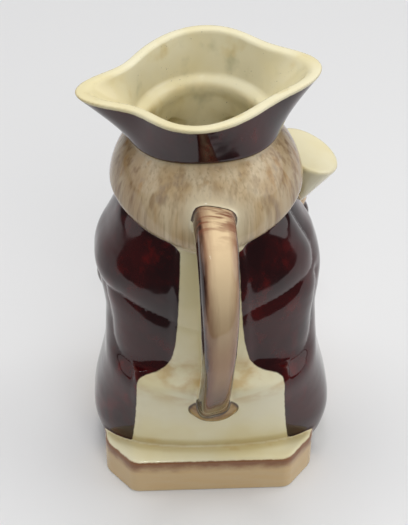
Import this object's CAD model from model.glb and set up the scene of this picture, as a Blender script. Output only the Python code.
"""Toby jug: a seated gentleman in a three-cornered hat, slip-cast, hand painted and glazed.

The jug is described as a field: a function of a point that is negative inside the clay, zero on its
surface and about the distance to the surface elsewhere. Each sub-part is a short field of its own.
The surface is found on a lattice, smoothed onto the field, and given painted areas as attributes
that hold a signed distance to each area's edge, which the material turns into brushed edges.

Lengths in this script are the CAD part's millimetres until the mesh is made, in metres.
"""

import math

import bmesh
import bpy
import numpy as np
from mathutils import Matrix, Vector


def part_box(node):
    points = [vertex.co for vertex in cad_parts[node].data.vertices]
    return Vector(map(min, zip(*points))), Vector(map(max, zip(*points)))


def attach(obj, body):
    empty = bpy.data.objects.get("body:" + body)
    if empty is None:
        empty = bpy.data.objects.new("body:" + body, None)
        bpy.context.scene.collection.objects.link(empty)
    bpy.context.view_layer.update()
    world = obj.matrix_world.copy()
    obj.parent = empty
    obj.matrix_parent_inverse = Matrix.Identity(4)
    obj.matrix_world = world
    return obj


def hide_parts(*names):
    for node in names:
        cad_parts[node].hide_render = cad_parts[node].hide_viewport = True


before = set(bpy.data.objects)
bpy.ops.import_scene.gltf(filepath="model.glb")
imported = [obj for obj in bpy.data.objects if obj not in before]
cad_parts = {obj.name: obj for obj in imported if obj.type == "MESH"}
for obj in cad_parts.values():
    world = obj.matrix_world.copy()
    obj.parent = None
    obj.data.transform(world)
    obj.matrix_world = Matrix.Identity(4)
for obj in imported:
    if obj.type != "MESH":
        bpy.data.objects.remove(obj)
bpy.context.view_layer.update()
JUG_LOW, JUG_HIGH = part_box("toby_jug")

# ---------------------------------------------------------------- driving sizes, in millimetres

WALL = 4.0
PLINTH = {"half_x": 42.5, "half_y": 43.5, "height": 17.0, "corner_x": 11.0, "corner_y": 13.5}
PLINTH_FLOOR = 5.0
LEAN, LEAN_FROM = 0.014, 60.0

STOOL = {"half_width": 30.0, "front": -12.0, "back_foot": 31.3, "lean": 0.19}
STOOL_EDGE = {"middle": 50.0, "corner": 58.0, "ridge": 3.6}
STOOL_TOP = {"z": 61.0, "slope": 0.75}

# The coat's half width, and how far its back stands behind its middle, at each height.
COAT_MIDDLE = 8.0
COAT_FRONT = 26.0
COAT_TOP = 129.0
COAT_SQUARE = 2.8
COAT_PROFILE = [
    (10, 45.5, 26.0),
    (17, 47.6, 26.5),
    (24, 48.3, 28.0),
    (33, 47.2, 30.2),
    (44, 44.6, 33.4),
    (52, 42.8, 35.9),
    (56, 42.3, 36.0),
    (59, 42.1, 33.8),
    (62, 41.9, 30.8),
    (66, 41.7, 29.4),
    (76, 41.3, 29.3),
    (86, 42.3, 29.5),
    (97, 43.5, 29.8),
    (106, 41.6, 29.8),
    (114, 37.4, 29.0),
    (122, 33.2, 27.0),
    (132, 28.0, 22.0),
]
# The tails stand a little to the right hand, and the shoulders to the left.
COAT_SHIFT = {"low": -1.1, "high": 0.6, "from": 83, "to": 105}
# Two shallow creases cross the coat's back: one under the shoulders, one round the lower fold.
SHOULDER_CREASE = {"middle": 80.0, "rise": 0.42, "flat": 34.0, "right_up": 4.0, "right_side": 16.0}
LOWER_CREASE = {"z": 60.5, "side": 20.0, "corner": 16.0}
CREASE = {"shoulder": 1.5, "lower": 1.3, "width": 9.0}
BACK_PANEL = {"half_width": 10.5, "back": 36.8, "front": 6, "bottom": 56, "top": 128, "spread": 0.05}

SHOULDER = {"x": 27, "y": 2, "z": 100, "radius": 13}
LEFT_ARM = {"elbow": (33.5, -4, 79), "wrist": (27, -25, 76), "hand": (21.5, -31, 77)}
RIGHT_ARM = {"elbow": (-35.5, -7, 79), "wrist": (-33.5, -19, 95), "hand": (-33.5, -18.5, 103)}
ELBOW_RADIUS, WRIST_RADIUS, CUFF_RADIUS = 9.0, 7.0, 8.6
HAND_RADII = (7, 6.5, 6)

NECK = {"y": 5.5, "bottom": 98, "top": 138, "radius": 28}
KNEE, KNEE_RADIUS = (18, -27.5, 55), 12.5
ANKLE, ANKLE_RADIUS = (18, -31, 25), 6.3
SHOE = {"centre": (18.5, -32, 20), "radii": (7.2, 10.3, 5.6)}

FACE_MIDDLE = 138.0
FACE_FRONT = -30.0
HAIR = {"centre": (0, 5, 129), "radii": (36.4, 36.5, 33), "bottom": 118.0, "rise": 0.28}

HAT_BAND = {"x": 2.0, "y": 1.5, "half_width": 29.0, "half_depth": 31.5, "z": 153.0, "back_rise": 2.5}
HAT_RIM = {"x": 3.0, "y": 2.0, "radius": 29.5, "z": 171.5}
HAT_TILT, HAT_FLARE = 0.035, 1.05
# Each corner: its bearing and spread in degrees, how far it reaches out, and how far it is lifted.
HAT_CORNERS = [(8, 20, 17.0, 0.5), (82, 32, 5.3, 0.5), (185, 25, 15.0, 0.5), (262, 44, 6.0, 1.5)]

HANDLE_PATH = [
    (0, 33, 133),
    (0, 46, 137),
    (-0.4, 60, 135),
    (-0.8, 68, 122),
    (-1, 66, 100),
    (-1, 56, 74),
    (-0.5, 47, 56),
    (0, 38, 44),
]
HANDLE = {"top_width": 15.5, "bottom_width": 11.5, "thickness": 10.5, "corner": 0.62, "twist": 12}
HANDLE_FOOT = {"centre": (-0.8, 39, 46.5), "radii": (10.8, 6.4, 10)}

BEAKER = {"top": (-39, -14, 128), "lean": 24, "height": 21, "top_radius": 14, "bottom_radius": 8.2}
KNEE_JUG = {"base": (15.5, -31, 65), "height": 20, "radius": 7.6, "neck": 6.2, "foot": 6.6}

FIGURE_BOTTOM, FIGURE_TOP = 12.0, 158.0

# The lattice on which the surface is found, and how many triangles the finished mesh may have.
PITCH = 0.9
BLOCK = 4
LATTICE_LOW, LATTICE_HIGH = np.array([-54.0, -47.0, -3.0]), np.array([52.0, 77.0, 177.0])
# Metres in one of this script's millimetres, as the frame gives the jug's height.
DESIGN_HEIGHT = 173.63
MM = (JUG_HIGH[2] - JUG_LOW[2]) / DESIGN_HEIGHT
MOST_TRIANGLES = 192000
# The hollow's skin below this height is thinned out the most.
DEEP_BELOW, INNER_SKIN = 146.0, 0.6
THINNED_MOST, THINNED_LEAST = 1.0, 0.12

# ---------------------------------------------------------------- fields of simple forms
# A point set is a tuple of three arrays (x, y, z).


def join(a, b, soft):
    """Joins two fields with a soft fillet about `soft` wide."""
    near = np.maximum(soft - np.abs(a - b), 0) / soft
    return np.minimum(a, b) - near * near * soft / 4


def carve(a, b, soft):
    """Cuts field b out of field a, with a soft edge."""
    return -join(-a, b, soft)


def common(a, b, soft):
    """Keeps what is inside both fields, with a soft edge."""
    return -join(-a, -b, soft)


def mirrored(p):
    """The point, or its mirror image on the figure's left, so that one field does for both sides."""
    return (np.abs(p[0]), p[1], p[2])


def length(*parts):
    return np.sqrt(sum(part * part for part in parts))


def smooth_step(low, high, value):
    t = np.clip((value - low) / (high - low), 0, 1)
    return t * t * (3 - 2 * t)


def smooth_curve(places, values, at):
    """A smooth curve through the values at the places, read at `at`."""
    before = np.maximum(np.arange(len(places)) - 1, 0)
    after = np.minimum(np.arange(len(places)) + 1, len(places) - 1)
    slopes = (values[after] - values[before]) / (places[after] - places[before])
    i = np.clip(np.searchsorted(places, at, side="right") - 1, 0, len(places) - 2)
    run = places[i + 1] - places[i]
    t = (at - places[i]) / run
    start, end = slopes[i] * run, slopes[i + 1] * run
    rise = values[i + 1] - values[i]
    return values[i] + t * (start + t * (3 * rise - 2 * start - end + t * (start + end - 2 * rise)))


def ellipsoid(p, centre, radii):
    scaled = [(p[i] - centre[i]) / radii[i] for i in range(3)]
    reach = length(*scaled)
    steepness = length(*[scaled[i] / radii[i] for i in range(3)])
    return reach * (reach - 1) / np.maximum(steepness, 1e-6)


def limb(p, start, end, start_radius, end_radius):
    """A limb with round ends, whose radius changes evenly along it."""
    along = [end[i] - start[i] for i in range(3)]
    offset = [p[i] - start[i] for i in range(3)]
    dot = sum(offset[i] * along[i] for i in range(3))
    t = np.clip(dot / sum(part * part for part in along), 0, 1)
    gap = length(*[offset[i] - along[i] * t for i in range(3)])
    return gap - (start_radius + (end_radius - start_radius) * t)


# ---------------------------------------------------------------- stool, panel and plinth


def stool_back(x, z):
    """How far back the stool's rear face stands."""
    side = np.minimum(np.abs(x) / STOOL["half_width"], 1)
    lean = STOOL["lean"] * (z - PLINTH["height"])
    return STOOL["back_foot"] + lean + STOOL_EDGE["ridge"] * (1 - side * side)


def stool_edge(x):
    """How high the stool's upper back edge stands."""
    side = np.minimum(np.abs(x) / STOOL["half_width"], 1)
    return STOOL_EDGE["middle"] + (STOOL_EDGE["corner"] - STOOL_EDGE["middle"]) * side


def stool(p):
    x, y, z = p
    back = y - stool_back(x, z)
    edge = stool_edge(x)
    # Above the edge a ledge slopes up and forward to the figure's back.
    ledge = (z - edge + (y - stool_back(x, edge)) / STOOL_TOP["slope"]) * 0.6
    walls = common(np.abs(x) - STOOL["half_width"], back, 2.5)
    rear = common(walls, ledge, 2.0)
    return np.maximum(rear, np.maximum(STOOL["front"] - y, z - STOOL_TOP["z"]))


def back_panel(p):
    x, y, z = p
    half_width = BACK_PANEL["half_width"] + (BACK_PANEL["top"] - z) * BACK_PANEL["spread"]
    walls = common(np.abs(x) - half_width, y - BACK_PANEL["back"], 2)
    ends = np.maximum(z - BACK_PANEL["top"], BACK_PANEL["bottom"] - z)
    return common(walls, np.maximum(ends, BACK_PANEL["front"] - y), 2)


def plinth_outline(p):
    """Signed distance to the chamfered outline, seen from above."""
    dx = np.abs(p[0]) - PLINTH["half_x"]
    dy = np.abs(p[1]) - PLINTH["half_y"]
    cx, cy = PLINTH["corner_x"], PLINTH["corner_y"]
    corner = (dx * cy + dy * cx + cx * cy) / math.hypot(cx, cy)
    return common(common(dx, dy, 1.0), corner, 2.2)


def plinth(p):
    outline = plinth_outline(p)
    top = common(outline, p[2] - PLINTH["height"], 2.4)
    return common(top, -p[2], 0.9)


# ---------------------------------------------------------------- coat and body


def coat_sizes(z):
    """The coat's half width and depth at a height, and how fast each grows with height."""
    heights, half_widths, depths = np.array(COAT_PROFILE).T
    fine = np.arange(heights[0], heights[-1], 0.25)
    sizes = []
    for values in (half_widths, depths):
        curve = smooth_curve(heights, values, fine)
        sizes += [np.interp(z, fine, curve), np.interp(z, fine, np.gradient(curve, fine))]
    return sizes


def crease(distance, depth):
    """A crease cut to `depth` where the distance is 0, with shoulders that fade out on both sides."""
    return depth * np.maximum(1 - np.abs(distance) / CREASE["width"], 0) ** 2


def coat_creases(p):
    """How deep the creases are cut."""
    x, y, z = p
    side = np.abs(x)
    right = smooth_step(4, -4, x)
    under = SHOULDER_CREASE["middle"] + SHOULDER_CREASE["right_up"] * right
    under = under + SHOULDER_CREASE["rise"] * np.minimum(side, SHOULDER_CREASE["flat"])
    sleeve_side = y - SHOULDER_CREASE["right_side"] + (1 - right) * 60
    shoulder = join(z - under, sleeve_side, 16)
    lower = join(z - LOWER_CREASE["z"], y - LOWER_CREASE["side"], LOWER_CREASE["corner"])
    deeper = smooth_step(6, 34, side)
    above = smooth_step(-2, 3, under - z)
    cut = crease(shoulder, CREASE["shoulder"] * (0.35 + 0.65 * deeper))
    return cut + crease(lower, CREASE["lower"] * deeper) * above


def coat_back(p):
    x, y, z = p
    half, half_slope, depth, depth_slope = coat_sizes(z)
    raised = smooth_step(COAT_SHIFT["from"], COAT_SHIFT["to"], z)
    shift = COAT_SHIFT["low"] + (COAT_SHIFT["high"] - COAT_SHIFT["low"]) * raised
    across, behind = x - shift, y - COAT_MIDDLE
    depth_slope = np.where(behind > 0, depth_slope, 0)
    depth = np.where(behind > 0, depth, COAT_FRONT)
    u = (np.abs(across) / half) ** COAT_SQUARE
    v = (np.abs(behind) / depth) ** COAT_SQUARE
    size = np.maximum((u + v) ** (1 / COAT_SQUARE), 1e-6)
    reach = length(across, behind)
    steepness = reach * (u * half_slope / half + v * depth_slope / depth) / size**COAT_SQUARE
    column = reach * (1 - 1 / size) / np.sqrt(1 + steepness**2)
    return common(column + coat_creases(p), z - COAT_TOP, 8)


def torso(p):
    belly = ellipsoid(p, (0, -5, 86), (29, 24, 25))
    chest = ellipsoid(p, (0, 2, 104), (31, 23, 20))
    core = ellipsoid(p, (0, 6, 70), (34, 26, 50))
    return join(join(belly, chest, 6), core, 5)


def coat_fronts(p):
    side, _, z = np.abs(p[0]), p[1], p[2]
    lapel = limb((side, p[1], z), (13, -15, 112), (19, -18, 70), 6.5, 9.5)
    edge = side - (10 + (112 - z) * 0.12)
    return common(lapel, -edge, 2)


def sleeve(p, sign, arm):
    shoulder = (SHOULDER["x"] * sign, SHOULDER["y"], SHOULDER["z"])
    upper = limb(p, shoulder, arm["elbow"], SHOULDER["radius"], ELBOW_RADIUS)
    lower = limb(p, arm["elbow"], arm["wrist"], ELBOW_RADIUS, WRIST_RADIUS)
    cuff = ellipsoid(p, arm["wrist"], (CUFF_RADIUS, CUFF_RADIUS, CUFF_RADIUS * 0.8))
    return join(join(upper, lower, 4), cuff, 1.5)


def hand(p, arm):
    return ellipsoid(p, arm["hand"], HAND_RADII)


def legs(p):
    leg = mirrored(p)
    x, y, z = KNEE
    thigh = limb(leg, (15, 0, 57), KNEE, 15, KNEE_RADIUS)
    shin = limb(leg, (x, y + 1, z - 6), ANKLE, 10.5, ANKLE_RADIUS)
    calf = ellipsoid(leg, (x, y, z - 17), (9.2, 9.5, 13))
    return join(join(thigh, shin, 3), calf, 4)


def shoes(p):
    foot = mirrored(p)
    shoe = ellipsoid(foot, SHOE["centre"], SHOE["radii"])
    cx, cy, cz = SHOE["centre"]
    buckle = ellipsoid(foot, (cx, cy - 1.5, cz + 5), (4, 3, 2))
    return join(shoe, buckle, 1)


def neck(p):
    bottom = (0, NECK["y"], NECK["bottom"])
    return limb(p, bottom, (0, NECK["y"], NECK["top"]), NECK["radius"], NECK["radius"])


def cravat(p):
    band = ellipsoid(p, (0, -9, 114), (17, 15, 9))
    fall = ellipsoid(p, (0, -21, 106), (8, 5, 10))
    return join(band, fall, 3)


# ---------------------------------------------------------------- head


def head_mass(p):
    face = mirrored(p)
    skull = ellipsoid(p, (0, -2, FACE_MIDDLE + 3), (24.5, 27, 25))
    jaw = ellipsoid(p, (0, -9, FACE_MIDDLE - 9), (19.5, 18.5, 14))
    cheek = ellipsoid(face, (12, FACE_FRONT + 8.5, FACE_MIDDLE - 4.5), (8.5, 8, 8))
    chin = ellipsoid(p, (0, FACE_FRONT + 5, FACE_MIDDLE - 16), (7.5, 6, 5.5))
    return join(join(join(skull, jaw, 6), cheek, 4), chin, 4)


def features(p, head):
    face = mirrored(p)
    front, middle = FACE_FRONT, FACE_MIDDLE
    socket = ellipsoid(face, (9, front - 0.5, middle + 4), (5.8, 3.8, 3.4))
    eye = ellipsoid(face, (9, front + 5, middle + 3.8), (4.8, 4.6, 3.6))
    brow = limb(face, (4, front + 0.8, middle + 9), (14.5, front + 5.2, middle + 8.4), 2.3, 1.6)
    nose = limb(p, (0, front + 0.6, middle + 5.5), (0, front - 3.4, middle - 3.4), 2.6, 3.5)
    nostril = ellipsoid(face, (3.4, front - 0.6, middle - 4.4), (2.6, 3.4, 2.3))
    upper_lip = ellipsoid(p, (0, front + 2.6, middle - 9), (6.6, 4, 2))
    lower_lip = ellipsoid(p, (0, front + 2.9, middle - 11.8), (5.6, 4, 2.1))
    with_eyes = join(join(carve(head, socket, 2.5), eye, 1), brow, 2.5)
    with_nose = join(join(with_eyes, nose, 3), nostril, 1.5)
    return join(with_nose, join(upper_lip, lower_lip, 0.6), 1.6)


def hair(p):
    """A chin-length bob, rolled under at its lower edge, that leaves the face open in front."""
    mass = ellipsoid(p, HAIR["centre"], HAIR["radii"])
    bob = common(mass, HAIR["bottom"] + HAIR["rise"] * np.abs(p[0]) - p[2], 5)
    opening = ellipsoid(p, (0, -36, FACE_MIDDLE - 2), (24, 27, 34))
    return carve(bob, opening, 6)


# ---------------------------------------------------------------- hat


def rim_and_band():
    """The rim's and the band's points over evenly spread bearings, with heights as if untilted."""
    bearing = np.linspace(-math.pi, math.pi, 1441)
    reach = np.full_like(bearing, HAT_RIM["radius"])
    rim_z = np.full_like(bearing, HAT_RIM["z"])
    for middle, spread, out, lift in HAT_CORNERS:
        turn = bearing - math.radians(middle)
        turn = np.arctan2(np.sin(turn), np.cos(turn))
        share = np.exp(-((turn / math.radians(spread)) ** 2))
        reach = reach + out * share
        rim_z = rim_z + lift * share
    rim = np.stack([HAT_RIM["x"] + reach * np.cos(bearing), HAT_RIM["y"] + reach * np.sin(bearing), rim_z])
    band_x = HAT_BAND["x"] + HAT_BAND["half_width"] * np.cos(bearing)
    band_y = HAT_BAND["y"] + HAT_BAND["half_depth"] * np.sin(bearing)
    band_z = HAT_BAND["z"] + HAT_BAND["back_rise"] * np.maximum(np.sin(bearing), 0) ** 4
    return rim, np.stack([band_x, band_y, band_z])


HAT_X = (HAT_BAND["x"] + HAT_RIM["x"]) / 2
HAT_Y = (HAT_BAND["y"] + HAT_RIM["y"]) / 2
HAT_LEVELS = np.arange(140.0, 184.0, 0.5)
HAT_ANGLES = np.linspace(-math.pi, math.pi, 721)


def around(x, y, values):
    """Values given at points round the hat's middle, read at even angles instead."""
    angle = np.arctan2(y - HAT_Y, x - HAT_X)
    order = np.argsort(angle)
    return np.interp(HAT_ANGLES, angle[order], values[order], period=2 * math.pi)


def hat_tables():
    """The brim's radius for each level and angle, and the heights of its band and rim by angle."""
    rim, band = rim_and_band()
    radius = []
    for level in HAT_LEVELS:
        share = np.clip((level - band[2]) / (rim[2] - band[2]), 0, 1.6)
        flare = share**HAT_FLARE
        x = band[0] + (rim[0] - band[0]) * flare
        y = band[1] + (rim[1] - band[1]) * flare
        radius.append(around(x, y, np.hypot(x - HAT_X, y - HAT_Y)))
    return np.array(radius), around(band[0], band[1], band[2]), around(rim[0], rim[1], rim[2])


HAT_RADIUS, HAT_BAND_Z, HAT_RIM_Z = hat_tables()
LEVEL_STEP, ANGLE_STEP = HAT_LEVELS[1] - HAT_LEVELS[0], HAT_ANGLES[1] - HAT_ANGLES[0]
LEVEL_SLOPE, ANGLE_SLOPE = np.gradient(HAT_RADIUS, LEVEL_STEP, ANGLE_STEP)
HAT_STEEPNESS = np.sqrt(1 + LEVEL_SLOPE**2 + (ANGLE_SLOPE / HAT_RADIUS) ** 2)


def read_table(table, level, angle):
    """Reads a table of levels and angles between its entries."""
    row = np.clip((level - HAT_LEVELS[0]) / LEVEL_STEP, 0, len(HAT_LEVELS) - 1.001)
    column = np.clip((angle - HAT_ANGLES[0]) / ANGLE_STEP, 0, len(HAT_ANGLES) - 1.001)
    i, j = row.astype(int), column.astype(int)
    s, t = row - i, column - j
    low = table[i, j] * (1 - t) + table[i, j + 1] * t
    high = table[i + 1, j] * (1 - t) + table[i + 1, j + 1] * t
    return low * (1 - s) + high * s


def hat_parts(p):
    """The distances to the brim's outer face, above its rim and below its band."""
    x, y, z = p
    level = z + HAT_TILT * (x - HAT_X)
    angle = np.arctan2(y - HAT_Y, x - HAT_X)
    reach = np.hypot(x - HAT_X, y - HAT_Y)
    face = (reach - read_table(HAT_RADIUS, level, angle)) / read_table(HAT_STEEPNESS, level, angle)
    above = level - np.interp(angle, HAT_ANGLES, HAT_RIM_Z)
    below = np.interp(angle, HAT_ANGLES, HAT_BAND_Z) - level
    return face, above, below


def brim_underside(face, below):
    """The cone on which the hat's underside meets the head."""
    return below * 0.85 + face * 0.5 - 0.2


def hat(p):
    face, above, below = hat_parts(p)
    return common(common(face, above, 1.6), brim_underside(face, below), 1.0)


# ---------------------------------------------------------------- handle


def smooth_path(points, count):
    """Points evenly along a centripetal Catmull-Rom curve, and how far along each one is."""
    points = np.array(points, float)
    ends = (2 * points[0] - points[1], 2 * points[-1] - points[-2])
    padded = np.vstack([ends[0], points, ends[1]])
    fine = []
    for i in range(1, len(padded) - 2):
        a, b, c, d = padded[i - 1 : i + 3]
        gap = [np.linalg.norm(after - before) ** 0.5 for before, after in ((a, b), (b, c), (c, d))]
        start = ((b - a) / gap[0] - (c - a) / (gap[0] + gap[1]) + (c - b) / gap[1]) * gap[1]
        end = ((c - b) / gap[1] - (d - b) / (gap[1] + gap[2]) + (d - c) / gap[2]) * gap[1]
        for t in np.linspace(0, 1, 60, endpoint=False):
            cubic = 2 * b - 2 * c + start + end
            square = -3 * b + 3 * c - 2 * start - end
            fine.append(b + start * t + square * t * t + cubic * t**3)
    fine = np.array(fine + [padded[-2]])
    run = np.concatenate([[0], np.cumsum(np.linalg.norm(np.diff(fine, axis=0), axis=1))])
    even = np.linspace(0, run[-1], count)
    return np.stack([np.interp(even, run, fine[:, i]) for i in range(3)], axis=1)


HANDLE_LINE = smooth_path(HANDLE_PATH, 160)


def handle_frames():
    along = np.gradient(HANDLE_LINE, axis=0)
    along /= np.linalg.norm(along, axis=1, keepdims=True)
    across = np.array([1.0, 0, 0]) - along * along[:, :1]
    across /= np.linalg.norm(across, axis=1, keepdims=True)
    return along, across, np.cross(across, along)


HANDLE_ALONG, HANDLE_ACROSS, HANDLE_OUT = handle_frames()


def on_handle(p):
    """Where a point stands on the handle.

    Gives its share along the handle, how far across and outwards it stands from the handle's line,
    and how many steps of that line it is past the nearest point.
    """
    points = np.stack(p, axis=-1)
    best = np.full(len(points), np.inf)
    nearest = np.zeros(len(points), int)
    for i, centre in enumerate(HANDLE_LINE):
        gap = ((points - centre) ** 2).sum(axis=1)
        closer = gap < best
        best[closer] = gap[closer]
        nearest[closer] = i
    offset = points - HANDLE_LINE[nearest]
    step = np.linalg.norm(HANDLE_LINE[1] - HANDLE_LINE[0])
    beyond = (offset * HANDLE_ALONG[nearest]).sum(axis=1) / step
    share = np.clip((nearest + beyond) / (len(HANDLE_LINE) - 1), 0, 1)
    across = (offset * HANDLE_ACROSS[nearest]).sum(axis=1)
    out = (offset * HANDLE_OUT[nearest]).sum(axis=1)
    turn = math.radians(HANDLE["twist"])
    turned_across = across * math.cos(turn) + out * math.sin(turn)
    turned_out = out * math.cos(turn) - across * math.sin(turn)
    return share, turned_across, turned_out, beyond


def handle_width(share):
    return HANDLE["top_width"] + (HANDLE["bottom_width"] - HANDLE["top_width"]) * np.minimum(share * 1.5, 1)


def handle_near(p):
    share, across, out, beyond = on_handle(p)
    power = 2 / HANDLE["corner"]
    u = np.abs(across) / (handle_width(share) / 2)
    v = np.abs(out) / (HANDLE["thickness"] / 2)
    size = np.maximum((u**power + v**power) ** (1 / power), 1e-6)
    section = length(across, out) * (1 - 1 / size)
    return np.maximum(section, np.abs(beyond) - 1.2)


# The box round the handle outside which its field is simply FAR.
HANDLE_BOX = {"middle": (0, 50, 90), "half": (20, 32, 64)}
FAR = 30.0


def handle(p):
    """The handle's field, worked out only near it."""
    middle, half = HANDLE_BOX["middle"], HANDLE_BOX["half"]
    field = np.full(np.shape(p[0]), FAR)
    near = np.logical_and.reduce([np.abs(p[i] - middle[i]) < half[i] for i in range(3)])
    if near.any():
        field[near] = handle_near(tuple(part[near] for part in p))
    return field


def handle_foot(p):
    return ellipsoid(p, HANDLE_FOOT["centre"], HANDLE_FOOT["radii"])


# ---------------------------------------------------------------- beaker and ale jug


def turned_profile(p, base, profile, tilt=0.0):
    """The distance to a turned form's side, and how far up its axis a point is.

    The profile is a list of (height, radius). The axis leans towards -X by `tilt` degrees.
    """
    x, y, z = (p[i] - base[i] for i in range(3))
    turn = math.radians(tilt)
    across = x * math.cos(turn) + z * math.sin(turn)
    up = z * math.cos(turn) - x * math.sin(turn)
    heights, radii = zip(*profile)
    radius = np.interp(up, heights, radii)
    slope = np.interp(up, heights, np.gradient(radii, heights))
    side = (np.hypot(across, y) - radius) / np.sqrt(1 + slope * slope)
    return side, up


def beaker(p):
    height = BEAKER["height"]
    profile = [(-height, BEAKER["bottom_radius"]), (0, BEAKER["top_radius"])]
    side, up = turned_profile(p, BEAKER["top"], profile, BEAKER["lean"])
    return common(common(side, up, 2.0), -height - up, 2.0)


def knee_jug(p):
    height = KNEE_JUG["height"]
    profile = [
        (0, KNEE_JUG["foot"]),
        (height * 0.08, KNEE_JUG["foot"]),
        (height * 0.35, KNEE_JUG["radius"]),
        (height * 0.6, KNEE_JUG["radius"] * 0.97),
        (height * 0.85, KNEE_JUG["neck"]),
        (height, KNEE_JUG["neck"] + 0.8),
    ]
    side, up = turned_profile(p, KNEE_JUG["base"], profile)
    return common(common(side, up - height, 1.5), -up, 1.0)


# ---------------------------------------------------------------- the whole jug


def leaned(p):
    """The point as it would be if the casting stood straight."""
    return (p[0] - LEAN * (p[2] - LEAN_FROM), p[1], p[2])


def body(p):
    """The figure without its small details, which the hollow follows too."""
    p = leaned(p)
    whole = coat_back(p)
    parts = [
        (back_panel(p), 5),
        (torso(p), 4),
        (neck(p), 3),
        (coat_fronts(p), 1.5),
        (sleeve(p, 1, LEFT_ARM), 2.5),
        (sleeve(p, -1, RIGHT_ARM), 2.5),
        (legs(p), 3),
        (shoes(p), 1),
        (cravat(p), 1.5),
        (hair(p), 1.5),
        (features(p, head_mass(p)), 1.5),
    ]
    for part, soft in parts:
        whole = join(whole, part, soft)
    return whole


def shell(p):
    """What the clay's wall follows: the body, stool, plinth and the hat's flaring brim."""
    face, _, below = hat_parts(p)
    brim = common(face, brim_underside(face, below), 1.0)
    seated = join(body(p), stool(p), 3)
    return join(join(seated, plinth(p), 1.0), brim, 6.0)


def hollow(p):
    """The space inside: one wall's thickness in from the shell, and open above the brim."""
    floor = PLINTH_FLOOR - WALL - p[2]
    return np.maximum(shell(p), floor) + WALL


def jug(p):
    figure = join(body(p), stool(p), 1.5)
    figure = np.maximum(figure, np.maximum(p[2] - FIGURE_TOP, FIGURE_BOTTOM - p[2]))
    whole = join(figure, plinth(p), 1.6)
    for part, soft in (
        (hat(p), 0.8),
        (hand(p, LEFT_ARM), 1),
        (hand(p, RIGHT_ARM), 1),
        (handle_foot(p), 1.0),
        (handle(p), 2.5),
        (beaker(p), 1.0),
        (knee_jug(p), 0.8),
    ):
        whole = join(whole, part, soft)
    return carve(whole, hollow(p), 1.6)


# ---------------------------------------------------------------- from the field to a mesh


def lattice(low, high, pitch):
    return [np.arange(low[i], high[i] + pitch, pitch) for i in range(3)]


def flat_points(axes):
    grid = np.meshgrid(*axes, indexing="ij")
    return tuple(part.ravel() for part in grid)


def sampled_field(field, low, high):
    """The field on a fine lattice, worked out only in the blocks that the surface may cross."""
    size = PITCH * BLOCK
    coarse_axes = lattice(low, high, size)
    coarse = field(flat_points(coarse_axes)).reshape([len(axis) for axis in coarse_axes])
    fine_shape = [(len(axis) - 1) * BLOCK + 1 for axis in coarse_axes]
    fine_axes = [low[i] + np.arange(fine_shape[i]) * PITCH for i in range(3)]
    values = coarse.repeat(BLOCK, 0).repeat(BLOCK, 1).repeat(BLOCK, 2)
    values = values[: fine_shape[0], : fine_shape[1], : fine_shape[2]].copy()
    near = np.zeros([n - 1 for n in coarse.shape], bool)
    reach = size * 1.25
    for step in np.ndindex(2, 2, 2):
        corner = coarse[tuple(slice(s, s + n) for s, n in zip(step, near.shape))]
        near |= np.abs(corner) < reach
    wanted = np.zeros(fine_shape, bool)
    for start in np.argwhere(near) * BLOCK:
        i, j, k = start
        wanted[i : i + BLOCK + 1, j : j + BLOCK + 1, k : k + BLOCK + 1] = True
    index = np.nonzero(wanted)
    points = tuple(fine_axes[i][index[i]] for i in range(3))
    values[index] = field(points)
    return values, fine_axes


def surface_net(values, axes):
    """Vertices and quads of the surface where the lattice's values change sign."""
    inside = values < 0
    shape = [n - 1 for n in values.shape]
    corners = list(np.ndindex(2, 2, 2))
    slices = [tuple(slice(s, s + n) for s, n in zip(step, shape)) for step in corners]
    count = sum(inside[part].astype(np.int8) for part in slices)
    cells = np.argwhere((count > 0) & (count < 8))
    number = np.full(shape, -1, np.int64)
    number[tuple(cells.T)] = np.arange(len(cells))
    at = [values[tuple((cells + step).T)] for step in corners]
    total = np.zeros((len(cells), 3))
    crossings = np.zeros(len(cells))
    for a, b in ((a, b) for a in range(8) for b in range(a + 1, 8)):
        if sum(abs(corners[a][i] - corners[b][i]) for i in range(3)) != 1:
            continue
        crossed = (at[a] < 0) != (at[b] < 0)
        share = (at[a] / np.where(crossed, at[a] - at[b], 1))[crossed, None]
        start, end = np.array(corners[a]), np.array(corners[b])
        total[crossed] += start + share * (end - start)
        crossings[crossed] += 1
    origin = np.array([axis[0] for axis in axes])
    vertices = origin + (cells + total / crossings[:, None]) * PITCH
    quads = []
    for axis in range(3):
        u, v = (axis + 1) % 3, (axis + 2) % 3
        low = tuple(slice(0, -1) if i == axis else slice(1, -1) for i in range(3))
        high = tuple(slice(1, None) if i == axis else slice(1, -1) for i in range(3))
        changed = np.argwhere(inside[low] != inside[high])
        changed[:, u] += 1
        changed[:, v] += 1
        leaving = inside[tuple(changed.T)]
        ring = []
        for du, dv in ((1, 1), (0, 1), (0, 0), (1, 0)):
            cell = changed.copy()
            cell[:, u] -= du
            cell[:, v] -= dv
            ring.append(number[tuple(cell.T)])
        ring = np.stack(ring, axis=1)
        ring[~leaving] = ring[~leaving][:, ::-1]
        quads.append(ring)
    return vertices, np.vstack(quads)


def gradient(field, points, step=0.3):
    parts = []
    for i in range(3):
        ahead = points.copy()
        behind = points.copy()
        ahead[:, i] += step
        behind[:, i] -= step
        parts.append((field(tuple(ahead.T)) - field(tuple(behind.T))) / (2 * step))
    return np.stack(parts, axis=1)


def settle(field, points, turns=2, most=0.6):
    """Moves points onto the field's surface."""
    for _ in range(turns):
        slope = gradient(field, points)
        size2 = np.maximum((slope**2).sum(axis=1), 0.05)
        move = field(tuple(points.T)) / size2
        points = points - np.clip(move, -most, most)[:, None] * slope
    return points


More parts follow.
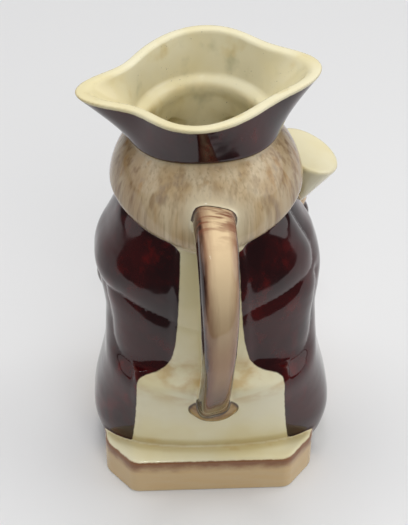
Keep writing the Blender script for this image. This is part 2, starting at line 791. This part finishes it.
def mesh_object(name, vertices, faces):
    mesh = bpy.data.meshes.new(name)
    mesh.from_pydata(vertices.tolist(), [], faces.tolist())
    mesh.update()
    thing = bpy.data.objects.new(name, mesh)
    bpy.context.scene.collection.objects.link(thing)
    return thing


def coordinates(mesh):
    flat = np.empty(len(mesh.vertices) * 3, np.float32)
    mesh.vertices.foreach_get("co", flat)
    return flat.reshape(-1, 3).astype(float)


def keep_largest_shell(thing):
    """Deletes every closed shell but the one with the most faces."""
    tidy = bmesh.new()
    tidy.from_mesh(thing.data)
    unseen = set(tidy.verts)
    shells = []
    while unseen:
        front = [unseen.pop()]
        found = list(front)
        while front:
            vertex = front.pop()
            for edge in vertex.link_edges:
                other = edge.other_vert(vertex)
                if other in unseen:
                    unseen.remove(other)
                    front.append(other)
                    found.append(other)
        shells.append(found)
    shells.sort(key=len)
    for found in shells[:-1]:
        bmesh.ops.delete(tidy, geom=found, context="VERTS")
    tidy.to_mesh(thing.data)
    tidy.free()


def thin_out(thing, most, weights):
    """Collapses the least useful edges until at most `most` triangles are left."""
    triangles = sum(len(face.vertices) - 2 for face in thing.data.polygons)
    if triangles <= most:
        return
    group = thing.vertex_groups.new(name="thin_out")
    for weight in np.unique(weights):
        group.add(np.nonzero(weights == weight)[0].tolist(), float(weight), "REPLACE")
    thinner = thing.modifiers.new("thin_out", "DECIMATE")
    thinner.ratio = most / triangles
    thinner.vertex_group = group.name
    thinner.vertex_group_factor = 1.0
    graph = bpy.context.evaluated_depsgraph_get()
    thinned = bpy.data.meshes.new_from_object(thing.evaluated_get(graph))
    old = thing.data
    thing.modifiers.remove(thinner)
    thing.vertex_groups.clear()
    thing.data = thinned
    bpy.data.meshes.remove(old)


def jug_mesh():
    """The jug's mesh, with more of its triangles outside and in the hat than deep in the hollow."""
    values, axes = sampled_field(jug, LATTICE_LOW, LATTICE_HIGH)
    vertices, quads = surface_net(values, axes)
    thing = mesh_object("toby_jug_body", settle(jug, vertices), quads)
    keep_largest_shell(thing)
    points = coordinates(thing.data)
    inner = hollow(tuple(points.T)) < INNER_SKIN
    deep = inner & (points[:, 2] < DEEP_BELOW)
    thin_out(thing, MOST_TRIANGLES, np.where(deep, THINNED_MOST, THINNED_LEAST))
    points = settle(jug, coordinates(thing.data), turns=2, most=0.25)
    thing.data.vertices.foreach_set("co", points.ravel().astype(np.float32))
    thing.data.update()
    return thing, points


# ---------------------------------------------------------------- painted areas
# Each area is a signed distance in millimetres: negative inside the area, zero on its edge.


def coat_parts(p):
    sleeves = np.minimum(sleeve(p, 1, LEFT_ARM), sleeve(p, -1, RIGHT_ARM))
    return np.minimum(np.minimum(coat_back(p), coat_fronts(p)), sleeves)


# Half the width of the cream behind at each height: the panel, which widens into the stool's back.
CREAM_EDGE = [
    (15, 32),
    (28, 30.4),
    (46, 29),
    (56, 28.5),
    (59, 26.8),
    (60.8, 21),
    (63.5, 17),
    (68, 14.8),
    (77, 13),
    (97, 11.6),
    (128, 10.2),
]
CREAM_MIDDLE = 0.4


def cream_half_width(z):
    heights, half_widths = np.array(CREAM_EDGE, float).T
    fine = np.arange(heights[0], heights[-1], 0.25)
    return np.interp(z, fine, smooth_curve(heights, half_widths, fine))


def cream_behind(p):
    """Distance into the cream panel and stool from their painted edge, seen from behind."""
    slope = cream_half_width(p[2] + 0.5) - cream_half_width(p[2] - 0.5)
    return (cream_half_width(p[2]) - np.abs(p[0] - CREAM_MIDDLE)) / np.sqrt(1 + slope * slope)


def painted_areas(points):
    p = tuple(points.T)
    s = leaned(p)
    side = np.abs(s[0])
    face, above, below = hat_parts(p)
    fields = {
        "coat": coat_parts(s),
        "panel": np.minimum(back_panel(s), stool(p)),
        "torso": np.minimum(torso(s), neck(s)),
        "legs": legs(s),
        "shoes": shoes(s),
        "cravat": cravat(s),
        "hair": hair(s),
        "face": features(s, head_mass(s)),
        "hat": hat(p),
        "plinth": plinth(p),
        "hands": np.minimum(hand(p, LEFT_ARM), hand(p, RIGHT_ARM)),
        "handle": handle(p),
        "foot": handle_foot(p),
        "beaker": beaker(p),
        "ale": knee_jug(p),
    }
    names = list(fields)
    table = np.stack([fields[name] for name in names])
    owned = {}
    for i, name in enumerate(names):
        others = np.delete(table, i, axis=0).min(axis=0)
        owned[name] = table[i] - others
    inside = hollow(p) - 2
    # Behind the figure's middle, the coat ends at the cream panel's painted edge.
    not_coat = np.minimum.reduce([fields[name] for name in ("hair", "hat", "plinth", "handle", "foot")])
    coat_behind = np.maximum(cream_behind(s), fields["coat"] - not_coat)
    coat = np.where(s[1] > COAT_MIDDLE, coat_behind, owned["coat"])
    share, across, out, _ = on_handle(p)
    width = handle_width(share) / 2
    brushed = np.maximum(-(out + 1.2), owned["handle"])
    areas = {
        "coat": coat,
        "hat": np.maximum(owned["hat"], np.maximum(above + 1.5, -face - 1.2)),
        "hair": owned["hair"],
        "handle": brushed,
        "foot": owned["foot"],
        "plinth_side": np.maximum(p[2] - (PLINTH["height"] - 0.7), -plinth_outline(p) - 1.4),
        "skin": np.minimum(owned["face"], owned["hands"]),
        "waistcoat": owned["torso"],
        "breeches": np.maximum(owned["legs"], 43 - p[2]),
        "shoes": owned["shoes"],
        "ale": owned["ale"],
        "seat_edge": stool_edge(s[0]) - s[2],
        "bare": p[2] - 0.5,
    }
    for name in areas:
        outside = areas[name] if name in ("bare", "seat_edge") else np.maximum(areas[name], -inside)
        areas[name] = np.clip(outside, -20, 20)
    areas["inside"] = inside
    areas["handle_across"] = np.clip(across / width, -1.5, 1.5)
    areas["handle_along"] = share
    areas["handle_out"] = out
    return areas


# How far off the surface the clay is looked for, outwards for dips and inwards for ridges.
RELIEF_REACH = {"pool": 1.6, "wide_pool": 5.0, "ridge": -1.1}


def relief_of(points, normals):
    """From 0 to 1: how far the glaze can pool at each point, and how sharp a ridge it stands on."""
    relief = {}
    for name, reach in RELIEF_REACH.items():
        ahead = jug(tuple((points + normals * reach).T))
        relief[name] = np.clip(1 - ahead / reach, 0, 1)
    return relief


def add_attributes(mesh, values):
    for name, numbers in values.items():
        made = mesh.attributes.new(name, "FLOAT", "POINT")
        made.data.foreach_set("value", numbers.astype(np.float32))


# ---------------------------------------------------------------- material


def srgb(red, green, blue):
    """A linear colour from the usual 0 to 255 values."""
    linear = []
    for value in (red, green, blue):
        value /= 255
        linear.append(value / 12.92 if value <= 0.04045 else ((value + 0.055) / 1.055) ** 2.4)
    return (*linear, 1.0)


class Shade:
    """Short ways to add the nodes of one material."""

    def __init__(self, name):
        self.material = bpy.data.materials.new(name)
        self.material.use_nodes = True
        self.tree = self.material.node_tree
        self.shader = self.tree.nodes["Principled BSDF"]
        self.place = self.add("ShaderNodeTexCoord").outputs["Object"]

    def add(self, kind, inputs=None, **settings):
        made = self.tree.nodes.new(kind)
        for name, value in settings.items():
            setattr(made, name, value)
        for socket, value in (inputs or {}).items():
            self.give(made.inputs[socket], value)
        return made

    def give(self, socket, value):
        if isinstance(value, bpy.types.NodeSocket):
            self.tree.links.new(value, socket)
        else:
            socket.default_value = value

    def math(self, operation, *values):
        inputs = dict(enumerate(values))
        return self.add("ShaderNodeMath", inputs, operation=operation).outputs[0]

    def times(self, first, second):
        return self.math("MULTIPLY", first, second)

    def value(self, name):
        return self.add("ShaderNodeAttribute", attribute_name=name).outputs["Fac"]

    def stretched(self, scale):
        """The position in millimetres, divided by `scale` along each axis."""
        factor = tuple(1 / (MM * part) for part in scale)
        return self.add("ShaderNodeVectorMath", {0: self.place, 1: factor}, operation="MULTIPLY").outputs[0]

    def noise(self, scale, detail=3.0, roughness=0.5, vector=None, offset=0.0):
        """Noise from 0 to 1, with features about `scale` millimetres across on each axis."""
        vector = self.stretched(scale) if vector is None else vector
        inputs = {"Vector": vector, "W": offset, "Scale": 1.0, "Detail": detail, "Roughness": roughness}
        return self.add("ShaderNodeTexNoise", inputs, noise_dimensions="4D").outputs[0]

    def pair(self, first, first_scale, second, second_scale):
        """A vector of two scaled values."""
        inputs = {0: self.times(first, first_scale), 1: self.times(second, second_scale)}
        return self.add("ShaderNodeCombineXYZ", inputs).outputs[0]

    def place_in_mm(self, axis):
        parts = self.add("ShaderNodeSeparateXYZ", {0: self.place})
        return self.math("DIVIDE", parts.outputs[axis], MM)

    def remap(self, value, low, high, to_low=0.0, to_high=1.0):
        inputs = {"Value": value, "From Min": low, "From Max": high, "To Min": to_low, "To Max": to_high}
        return self.add("ShaderNodeMapRange", inputs, interpolation_type="SMOOTHSTEP").outputs[0]

    def patches(self, scale, low, high, to_low=0.0, to_high=1.0, **settings):
        return self.remap(self.noise(scale, **settings), low, high, to_low, to_high)

    def mix(self, share, first, second):
        made = self.add("ShaderNodeMix", data_type="RGBA")
        self.give(made.inputs["Factor"], share)
        self.give(made.inputs[6], first)
        self.give(made.inputs[7], second)
        return made.outputs[2]

    def inside(self, name, rough_edge=0.0, soft=0.25, shift=0.0):
        """1 inside the painted area `name`, 0 outside, with a brushed edge."""
        distance = self.value(name)
        if rough_edge:
            wander = self.times(self.math("SUBTRACT", self.noise((3, 3, 3)), 0.5), rough_edge * 2)
            distance = self.math("ADD", distance, wander)
        return self.remap(distance, shift + soft, shift - soft)


CREAM = srgb(232, 220, 176)
CREAM_PALE = srgb(240, 233, 202)
CREAM_DEEP = srgb(208, 190, 132)
OCHRE = srgb(196, 150, 70)
STAIN = srgb(214, 190, 120)
GREEN_GREY = srgb(168, 168, 132)
SPECK = srgb(70, 60, 40)
BURGUNDY = srgb(58, 10, 12)
BURGUNDY_DARK = srgb(36, 5, 8)
BURGUNDY_RED = srgb(106, 14, 12)
BURGUNDY_EDGE = srgb(120, 74, 66)
HAIR_TAN = srgb(204, 178, 138)
HAIR_PALE = srgb(222, 204, 170)
HAIR_ROOT = srgb(230, 216, 184)
HAIR_BROWN = srgb(132, 100, 66)
HAIR_OCHRE = srgb(176, 130, 66)
HAIR_MAUVE = srgb(150, 132, 118)
HANDLE_TAN = srgb(226, 200, 160)
HANDLE_BROWN = srgb(178, 136, 94)
HANDLE_RED = srgb(122, 66, 46)
HANDLE_LOW = srgb(100, 66, 38)
HANDLE_DARK = srgb(48, 24, 18)
HANDLE_GREY = srgb(106, 82, 66)
FOOT_OLIVE = srgb(140, 104, 54)
FOOT_PALE = srgb(172, 140, 88)
PLINTH_TAN = srgb(206, 176, 130)
PLINTH_PALE = srgb(206, 180, 138)
PLINTH_BROWN = srgb(120, 66, 40)
SKIN = srgb(228, 196, 158)
STRAW = srgb(206, 172, 96)
OLIVE = srgb(150, 118, 72)
SHOE_BROWN = srgb(58, 36, 28)
ALE_BROWN = srgb(134, 84, 44)
BISQUE = srgb(226, 214, 190)


def cream_colour(s):
    """Cream ware under a clear glaze that is yellower where it runs thick."""
    patches = s.patches((28, 28, 34), 0.35, 0.7)
    ground = s.mix(patches, CREAM_PALE, CREAM)
    thick = s.remap(s.value("wide_pool"), 0.12, 0.75, 0.0, 0.55)
    ground = s.mix(thick, ground, CREAM_DEEP)
    blotches = s.times(s.patches((9, 9, 12), 0.5, 0.72, offset=3.1), 0.55)
    patchy = s.patches((6, 6, 6), 0.3, 0.6, offset=5.0)
    corners = s.times(s.times(s.remap(s.value("pool"), 0.18, 0.8), patchy), 0.8)
    pooled = s.mix(s.math("MAXIMUM", s.times(blotches, thick), corners), ground, OCHRE)
    # A run of yellow glaze hangs under the stool's upper edge, and blotches stand on the ledge above it.
    edge = s.value("seat_edge")
    behind = s.place_in_mm(1)
    below = s.times(s.remap(edge, 0.0, 1.5), s.remap(edge, 9.0, 2.0))
    above = s.times(s.remap(edge, -1.0, -4.0), s.remap(edge, -20.0, -9.0))
    uneven = s.patches((8, 8, 5), 0.36, 0.66, detail=3.0, offset=17.0)
    run = s.times(s.math("MAXIMUM", s.times(below, 0.6), above), uneven)
    return s.mix(s.times(run, s.remap(behind, 32, 36, 0.0, 0.5)), pooled, OCHRE)


def inside_colour(s, cream):
    """The jug's inside, with yellow stains, grey-green patches and dark specks lower down."""
    stains = s.times(s.patches((13, 13, 15), 0.54, 0.72, offset=8.0), 0.6)
    stained = s.mix(stains, cream, STAIN)
    grey = s.times(s.patches((11, 11, 14), 0.56, 0.75, offset=12.0), 0.5)
    stained = s.mix(grey, stained, GREEN_GREY)
    specks = s.patches((0.7, 0.7, 0.7), 0.70, 0.76, detail=1.0, offset=2.0)
    crowd = s.patches((9, 9, 9), 0.42, 0.66, offset=4.0)
    return s.mix(s.times(specks, crowd), stained, SPECK)


def burgundy_colour(s):
    """Dark manganese-red enamel, mottled where it lies thinner."""
    mottled = s.patches((7, 7, 10), 0.46, 0.72, detail=5.0, roughness=0.62)
    deep = s.mix(s.patches((22, 22, 26), 0.4, 0.62, offset=1.0), BURGUNDY_DARK, BURGUNDY)
    glow = s.times(mottled, s.patches((30, 30, 30), 0.35, 0.65, offset=6.0))
    red = s.mix(s.times(glow, 0.75), deep, BURGUNDY_RED)
    thin = s.times(s.remap(s.value("ridge"), 0.12, 0.6), 0.5)
    return s.mix(thin, red, BURGUNDY_EDGE)


def hair_colour(s):
    """Tan washes laid on in long upright strokes of several browns, palest round the handle's root."""
    sides = s.remap(s.math("ABSOLUTE", s.place_in_mm(0)), 12, 34)
    broad = s.patches((6, 6, 90), 0.36, 0.66, detail=2.0, offset=2.0)
    strokes = s.patches((2.6, 2.6, 60), 0.44, 0.68, detail=2.0, offset=1.0)
    fine = s.patches((0.9, 0.9, 34), 0.5, 0.75, detail=1.0, offset=4.0)
    colour = s.mix(broad, HAIR_TAN, HAIR_PALE)
    colour = s.mix(s.times(sides, 0.45), colour, HAIR_BROWN)
    colour = s.mix(s.times(strokes, s.remap(sides, 0, 1, 0.35, 0.8)), colour, HAIR_BROWN)
    ochre = s.patches((4, 4, 40), 0.55, 0.72, detail=2.0, offset=9.0)
    colour = s.mix(s.times(ochre, 0.5), colour, HAIR_OCHRE)
    mauve = s.patches((5, 5, 50), 0.55, 0.72, detail=2.0, offset=7.0)
    colour = s.mix(s.times(mauve, 0.55), colour, HAIR_MAUVE)
    colour = s.mix(s.times(fine, 0.3), colour, HAIR_BROWN)
    root = s.times(s.remap(s.value("handle"), 8, 0.5), 0.85)
    colour = s.mix(root, colour, HAIR_ROOT)
    edge = s.times(s.remap(s.math("ABSOLUTE", s.value("hair")), 1.6, 0.4), 0.5)
    return s.mix(edge, colour, HAIR_ROOT)


def handle_colour(s):
    """Brown wash brushed down the handle's outer face, palest at the bend and dark along its edges."""
    across, along = s.value("handle_across"), s.value("handle_along")
    streaks = s.noise(None, detail=4.0, roughness=0.6, vector=s.pair(across, 2.2, along, 6.0), offset=2.0)
    banding = s.noise(None, detail=3.0, vector=s.pair(across, 0.7, along, 60.0), offset=5.0)
    centre = s.mix(s.remap(along, 0.30, 0.58), HANDLE_TAN, HANDLE_BROWN)
    centre = s.mix(s.remap(along, 0.58, 0.84), centre, HANDLE_LOW)
    centre = s.mix(s.remap(along, 0.84, 0.95), centre, HANDLE_GREY)
    wander = s.times(s.math("SUBTRACT", streaks, 0.5), 0.7)
    reach = s.math("ADD", s.math("ABSOLUTE", across), wander)
    wash = s.remap(reach, 0.2, 0.95)
    coloured = s.mix(s.times(wash, 0.8), centre, HANDLE_RED)
    coloured = s.mix(s.remap(reach, 0.72, 1.0), coloured, HANDLE_DARK)
    top = s.remap(along, 0.24, 0.08)
    coloured = s.mix(s.times(top, s.remap(banding, 0.42, 0.6)), coloured, HANDLE_RED)
    outline = s.remap(s.math("ABSOLUTE", s.value("handle")), 0.9, 0.3)
    return s.mix(outline, coloured, HANDLE_DARK)


def foot_colour(s):
    """Olive wash on the handle's foot, with a dark outline."""
    worn = s.patches((5, 5, 3), 0.4, 0.65, detail=3.0, offset=11.0)
    wash = s.mix(worn, FOOT_OLIVE, FOOT_PALE)
    outline = s.remap(s.value("foot"), -1.1, -0.3)
    return s.mix(s.times(outline, 0.85), wash, HANDLE_DARK)


def plinth_colour(s):
    """A tan wash, darker below the upper edge, wiped thin towards the foot."""
    height = s.place_in_mm(2)
    strokes = s.noise((16, 16, 2.2), detail=4.0, roughness=0.6, offset=3.0)
    tan = s.mix(s.remap(strokes, 0.35, 0.7), PLINTH_TAN, PLINTH_PALE)
    wander = s.times(s.math("SUBTRACT", s.noise((6, 6, 4), offset=5.0), 0.5), 5.0)
    shade = s.remap(s.math("ADD", height, wander), 10.0, PLINTH["height"] - 1.5)
    return s.mix(s.times(shade, 0.85), tan, PLINTH_BROWN)


def glazed_earthenware():
    s = Shade("glazed_earthenware")
    cream = cream_colour(s)
    colour = cream
    layers = [
        ("waistcoat", STRAW, 0.2),
        ("breeches", OLIVE, 0.2),
        ("shoes", SHOE_BROWN, 0.2),
        ("skin", SKIN, 0.2),
        ("ale", ALE_BROWN, 0.2),
        ("plinth_side", plinth_colour(s), 0.35),
        ("hair", hair_colour(s), 0.35),
        ("coat", burgundy_colour(s), 0.3),
        ("hat", burgundy_colour(s), 0.25),
        ("foot", foot_colour(s), 0.2),
        ("handle", handle_colour(s), 0.3),
    ]
    for name, paint, rough_edge in layers:
        colour = s.mix(s.inside(name, rough_edge), colour, paint)
    colour = s.mix(s.inside("inside"), colour, inside_colour(s, cream))
    bare = s.inside("bare")
    colour = s.mix(bare, colour, BISQUE)
    s.give(s.shader.inputs["Base Color"], colour)
    gloss = s.patches((14, 14, 14), 0.3, 0.7, 0.07, 0.13, offset=15.0)
    s.give(s.shader.inputs["Roughness"], s.math("MAXIMUM", gloss, s.times(bare, 0.7)))
    s.shader.inputs["IOR"].default_value = 1.5
    waves = s.times(s.noise((7, 7, 7), detail=1.0, offset=20.0), 0.12)
    hair_depth = s.times(s.inside("hair"), 0.05)
    brushed = s.times(s.noise((1.2, 1.2, 14), detail=2.0, offset=21.0), hair_depth)
    height = s.times(s.math("ADD", waves, brushed), MM)
    bump = s.add("ShaderNodeBump", {"Strength": 1.0, "Distance": 1.0, "Height": height})
    s.give(s.shader.inputs["Normal"], bump.outputs[0])
    return s.material


# ---------------------------------------------------------------- stage


def floor_material():
    s = Shade("pale_floor")
    looks = {"Base Color": (0.80, 0.80, 0.805, 1), "Roughness": 0.75, "Specular IOR Level": 0.2}
    for name, value in looks.items():
        s.shader.inputs[name].default_value = value
    return s.material


def pale_floor():
    """A floor in metres. It ends close behind the jug, whose glazed back would mirror it."""
    half, behind = 3.0, 0.14
    corners = np.array([(-half, -half, 0), (half, -half, 0), (half, behind, 0), (-half, behind, 0)])
    floor = mesh_object("floor", corners, np.array([[0, 1, 2, 3]]))
    floor.data.materials.append(floor_material())


def direction(azimuth, elevation):
    """A unit vector from the jug. Azimuth 0 is in front of the figure and 90 at its left hand."""
    turn, rise = math.radians(azimuth), math.radians(elevation)
    return Vector((math.sin(turn) * math.cos(rise), -math.cos(turn) * math.cos(rise), math.sin(rise)))


def softbox(name, azimuth, elevation, distance, size, power, reflected=True):
    light = bpy.data.lights.new(name, "AREA")
    light.shape = "ELLIPSE"
    light.size, light.size_y = size
    light.energy = power
    thing = bpy.data.objects.new(name, light)
    bpy.context.scene.collection.objects.link(thing)
    thing.location = Vector((0, 0, 0.08)) + direction(azimuth, elevation) * distance
    thing.rotation_euler = direction(azimuth, elevation).to_track_quat("Z", "Y").to_euler()
    thing.visible_glossy = reflected
    return thing


def studio_light():
    world = bpy.data.worlds.new("studio")
    bpy.context.scene.world = world
    world.use_nodes = True
    background = world.node_tree.nodes["Background"]
    background.inputs["Color"].default_value = (1, 1, 1, 1)
    background.inputs["Strength"].default_value = 0.12
    softbox("right_wall", -95, 22, 1.3, (1.4, 1.1), 4.8)
    softbox("left_wall", 92, 18, 1.4, (1.3, 0.9), 2.2)
    softbox("overhead", 0, 82, 1.7, (1.6, 1.4), 22.0, reflected=False)
    softbox("behind", 190, 42, 1.6, (1.2, 1.0), 7.5, reflected=False)
    softbox("sparkle", 177, 62, 1.2, (0.05, 0.07), 0.5)


CAMERA = {"azimuth": 177, "elevation": 39, "roll": 0.5, "distance": 600, "target": (1.5, 4.5, 88)}
CAMERA_LENS, CAMERA_SENSOR = 135.0, 36.0


def photo_camera():
    backward = direction(CAMERA["azimuth"], CAMERA["elevation"])
    right = Vector((0, 0, 1)).cross(backward).normalized()
    up = backward.cross(right)
    roll = math.radians(CAMERA["roll"])
    rolled_right = right * math.cos(roll) + up * math.sin(roll)
    rolled_up = up * math.cos(roll) - right * math.sin(roll)
    data = bpy.data.cameras.new("photo_camera")
    data.sensor_fit = "HORIZONTAL"
    data.sensor_width = CAMERA_SENSOR
    data.lens = CAMERA_LENS
    camera = bpy.data.objects.new("photo_camera", data)
    bpy.context.scene.collection.objects.link(camera)
    place = (Vector(CAMERA["target"]) + backward * CAMERA["distance"]) * MM
    turned = Matrix((rolled_right, rolled_up, backward)).transposed().to_4x4()
    camera.matrix_world = Matrix.Translation(place) @ turned
    bpy.context.scene.camera = camera


# ---------------------------------------------------------------- the scene


def build_jug():
    thing, points = jug_mesh()
    mesh = thing.data
    normals = gradient(jug, points, step=0.35)
    normals /= np.maximum(np.linalg.norm(normals, axis=1, keepdims=True), 1e-9)
    add_attributes(mesh, painted_areas(points))
    add_attributes(mesh, relief_of(points, normals))
    mesh.vertices.foreach_set("co", (points * MM).ravel().astype(np.float32))
    mesh.polygons.foreach_set("use_smooth", np.ones(len(mesh.polygons), bool))
    mesh.update()
    mesh.normals_split_custom_set_from_vertices(normals.tolist())
    mesh.materials.append(glazed_earthenware())
    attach(thing, "root")
    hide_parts("toby_jug")


build_jug()
pale_floor()
studio_light()
photo_camera()
bpy.context.scene.view_settings.view_transform = "Standard"
